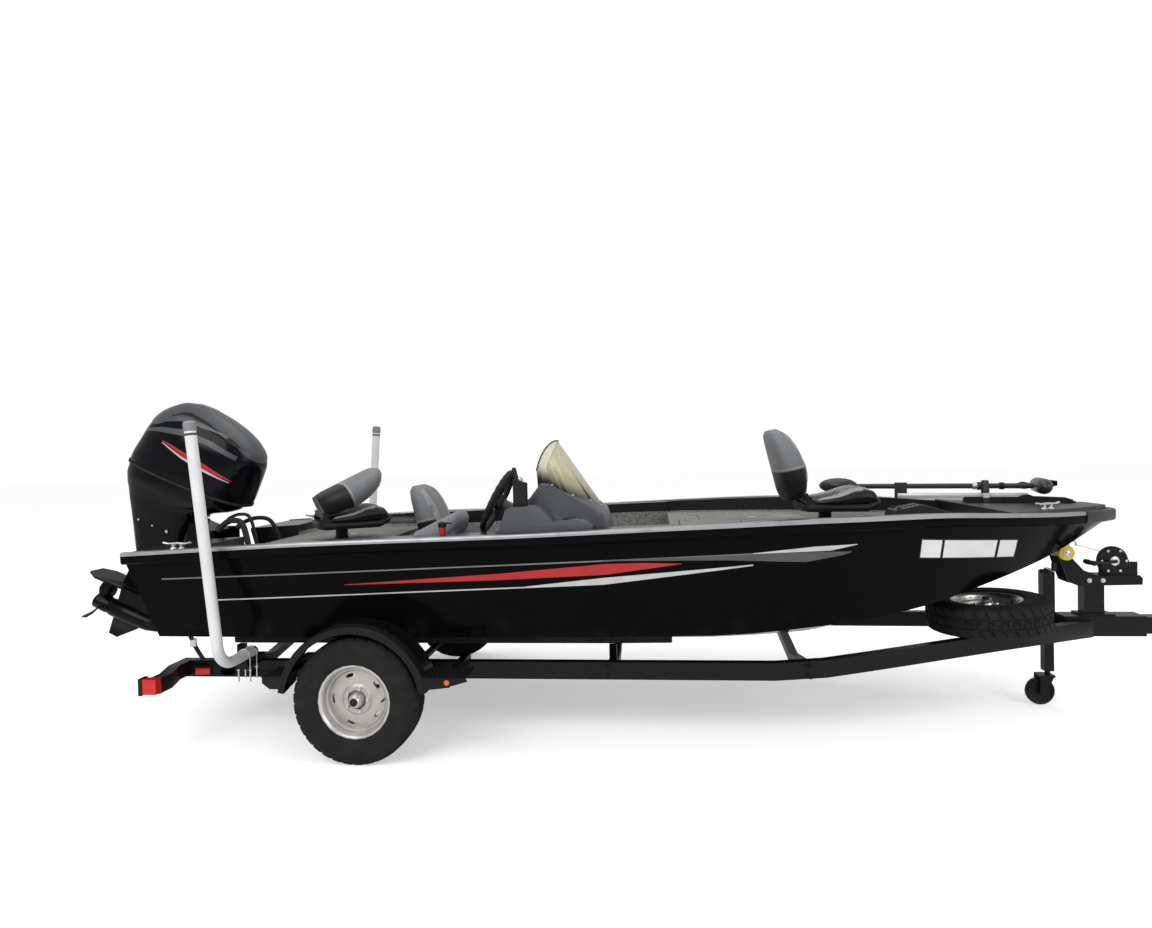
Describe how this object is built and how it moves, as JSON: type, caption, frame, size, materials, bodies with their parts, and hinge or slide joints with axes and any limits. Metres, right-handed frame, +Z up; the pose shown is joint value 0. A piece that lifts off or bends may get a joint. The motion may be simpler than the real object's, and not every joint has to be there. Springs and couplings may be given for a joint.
{
  "type": "bass boat on a single-axle trailer",
  "caption": "Open fishing boat with raised casting decks, side console, pedestal seats, tilted outboard and bow motor, resting on its tongue-jack road trailer.",
  "frame": {"origin": "floor level, middle of the overall length and width", "axes": "+X towards the bow and coupler, +Y to port, +Z up"},
  "size_m": [6.9333, 2.08, 1.8171],
  "materials": {
    "hull_gloss": "gloss black gelcoat",
    "deck_grey": "speckled marine carpet",
    "moulded_grey": "satin moulded plastic",
    "aluminium": "extruded",
    "frame_black": "satin black powder coat",
    "vinyl_grey": "grained marine vinyl",
    "black_plastic": "satin",
    "cowl_black": "gloss",
    "rubber": "matte",
    "tyre": "matte",
    "wheel_silver": "silver",
    "smoked_clear": "tinted clear",
    "white_plastic": "satin",
    "red_lens": "gloss",
    "roller_yellow": "satin"
  },
  "bodies": {
    "hull": {"hull_shell": "hull_gloss", "gunwale_rail": "aluminium", "deck_moulding": "deck_grey", "bow_cap": "moulded_grey", "console": "moulded_grey", "windshield": "smoked_clear", "throttle_control": "black_plastic", "extinguisher": "red_lens", "seat_bow_post": "black_plastic", "seat_aft_post": "black_plastic", "seat_driver_base": "vinyl_grey", "seat_passenger_base": "vinyl_grey", "transom_bracket": "cowl_black", "trolling_base": "black_plastic", "foot_pedal": "black_plastic", "trailer_frame": "frame_black", "bunk_port": "rubber", "bunk_starboard": "rubber", "axle": "frame_black", "fender_port": "frame_black", "fender_starboard": "frame_black", "guide_pole_port": "white_plastic", "guide_pole_starboard": "white_plastic", "spare_tyre": "tyre", "spare_rim": "wheel_silver", "winch_stand": "frame_black", "winch": "frame_black", "jack_tube": "frame_black", "coupler": "frame_black", "tail_light_port": "red_lens", "tail_light_starboard": "red_lens"},
    "rod_lid_port": {"lid_rod_port": "deck_grey"},
    "rod_lid_starboard": {"lid_rod_starboard": "deck_grey"},
    "centre_lid": {"lid_centre": "deck_grey"},
    "aft_lid_port": {"lid_aft_port": "deck_grey"},
    "aft_lid_starboard": {"lid_aft_starboard": "deck_grey"},
    "helm": {"steering_wheel": "black_plastic"},
    "bow_seat": {"seat_bow_base": "vinyl_grey"},
    "bow_seat_back": {"seat_bow_back": "vinyl_grey"},
    "aft_seat": {"seat_aft_base": "vinyl_grey"},
    "aft_seat_back": {"seat_aft_back": "vinyl_grey"},
    "driver_back": {"seat_driver_back": "vinyl_grey"},
    "passenger_back": {"seat_passenger_back": "vinyl_grey"},
    "outboard_swivel": {"swivel_bracket": "cowl_black"},
    "outboard": {"engine_cowl": "cowl_black", "outboard_leg": "cowl_black"},
    "outboard_propeller": {"propeller": "cowl_black"},
    "bow_motor_arms": {"trolling_arms": "aluminium"},
    "bow_motor": {"trolling_shaft": "black_plastic"},
    "bow_motor_propeller": {"trolling_prop": "black_plastic"},
    "wheel_port": {"tyre_port": "tyre", "rim_port": "wheel_silver"},
    "wheel_starboard": {"tyre_starboard": "tyre", "rim_starboard": "wheel_silver"},
    "keel_roller": {"bow_roller": "roller_yellow"},
    "jack_leg": {"jack_leg": "frame_black"},
    "jack_caster": {"jack_fork": "frame_black"},
    "jack_castor_wheel": {"jack_wheel": "rubber"}
  },
  "joints": [
    {"name": "lid_rod_port_hinge", "type": "hinge", "parent": "hull", "child": "rod_lid_port", "pos_m": [0.353, 0.62, 1.03], "axis": [-1, 0, 0], "range_deg": [0, 95]},
    {"name": "lid_rod_starboard_hinge", "type": "hinge", "parent": "hull", "child": "rod_lid_starboard", "pos_m": [0.353, -0.62, 1.03], "axis": [1, 0, 0], "range_deg": [0, 95]},
    {"name": "lid_centre_hinge", "type": "hinge", "parent": "hull", "child": "centre_lid", "pos_m": [0.223, 0, 1.03], "axis": [0, -1, 0], "range_deg": [0, 95]},
    {"name": "lid_aft_port_hinge", "type": "hinge", "parent": "hull", "child": "aft_lid_port", "pos_m": [-2.157, 0.72, 0.955], "axis": [-1, 0, 0], "range_deg": [0, 95]},
    {"name": "lid_aft_starboard_hinge", "type": "hinge", "parent": "hull", "child": "aft_lid_starboard", "pos_m": [-2.157, -0.72, 0.955], "axis": [1, 0, 0], "range_deg": [0, 95]},
    {"name": "steering_wheel_turn", "type": "hinge", "parent": "hull", "child": "helm", "pos_m": [-0.752, -0.5, 1.212], "axis": [0.892, 0, -0.452], "range_deg": [-540, 540]},
    {"name": "bow_seat_swivel", "type": "hinge", "parent": "hull", "child": "bow_seat", "pos_m": [1.043, 0, 1.098], "axis": [0, 0, 1], "continuous": true},
    {"name": "bow_seat_fold", "type": "hinge", "parent": "bow_seat", "child": "bow_seat_back", "pos_m": [0.925, 0, 1.173], "axis": [0, 1, 0], "range_deg": [0, 78]},
    {"name": "aft_seat_swivel", "type": "hinge", "parent": "hull", "child": "aft_seat", "pos_m": [-1.827, 0, 1.035], "axis": [0, 0, 1], "continuous": true},
    {"name": "aft_seat_fold", "type": "hinge", "parent": "aft_seat", "child": "aft_seat_back", "pos_m": [-1.92596, -0.06427, 1.11], "axis": [-0.5446, 0.8387, 0], "range_deg": [-78, 0]},
    {"name": "driver_seat_fold", "type": "hinge", "parent": "hull", "child": "driver_back", "pos_m": [-1.295, -0.44, 0.8753], "axis": [0, 1, 0], "range_deg": [-78, 0]},
    {"name": "passenger_seat_fold", "type": "hinge", "parent": "hull", "child": "passenger_back", "pos_m": [-1.295, 0.44, 0.8753], "axis": [0, 1, 0], "range_deg": [0, 78]},
    {"name": "outboard_tilt", "type": "hinge", "parent": "hull", "child": "outboard_swivel", "pos_m": [-2.652, 0, 1.01], "axis": [0, 1, 0], "range_deg": [-23, 36]},
    {"name": "outboard_steer", "type": "hinge", "parent": "outboard_swivel", "child": "outboard", "pos_m": [-2.768, 0, 1.0592], "axis": [0.3907, 0, 0.9205], "range_deg": [-30, 30]},
    {"name": "propeller_spin", "type": "hinge", "parent": "outboard", "child": "outboard_propeller", "pos_m": [-3.3499, 0, 0.5567], "axis": [0.9205, 0, -0.3907], "continuous": true},
    {"name": "bow_motor_deploy", "type": "hinge", "parent": "hull", "child": "bow_motor_arms", "pos_m": [2.203, 0.15, 1.15], "axis": [0.2756, 0.9613, 0], "range_deg": [0, 165]},
    {"name": "bow_motor_level", "type": "hinge", "parent": "bow_motor_arms", "child": "bow_motor", "pos_m": [1.5686, 0.3319, 1.15], "axis": [0.2756, 0.9613, 0], "range_deg": [-75, 0]},
    {"name": "bow_motor_spin", "type": "hinge", "parent": "bow_motor", "child": "bow_motor_propeller", "pos_m": [2.2799, 0.1279, 1.208], "axis": [0.2756, 0.9613, 0], "continuous": true},
    {"name": "wheel_port_spin", "type": "hinge", "parent": "hull", "child": "wheel_port", "pos_m": [-1.362, 0.932, 0.305], "axis": [0, 1, 0], "continuous": true},
    {"name": "wheel_starboard_spin", "type": "hinge", "parent": "hull", "child": "wheel_starboard", "pos_m": [-1.362, -0.932, 0.305], "axis": [0, 1, 0], "continuous": true},
    {"name": "bow_roller_spin", "type": "hinge", "parent": "hull", "child": "keel_roller", "pos_m": [2.308, 0, 0.84938], "axis": [0, 1, 0], "continuous": true},
    {"name": "jack_leg_slide", "type": "slide", "parent": "hull", "child": "jack_leg", "axis": [0, 0, 1], "range_m": [-0.08, 0.18]},
    {"name": "jack_caster_swivel", "type": "hinge", "parent": "jack_leg", "child": "jack_caster", "pos_m": [2.228, -0.02, 0.164], "axis": [0, 0, 1], "continuous": true},
    {"name": "jack_wheel_spin", "type": "hinge", "parent": "jack_caster", "child": "jack_castor_wheel", "pos_m": [2.186, -0.02, 0.076], "axis": [0, 1, 0], "continuous": true}
  ],
  "couplings": [
    {"joint": "steering_wheel_turn", "follows": "outboard_steer", "ratio": 18},
    {"joint": "bow_motor_level", "follows": "bow_motor_deploy", "ratio": -0.45454}
  ]
}
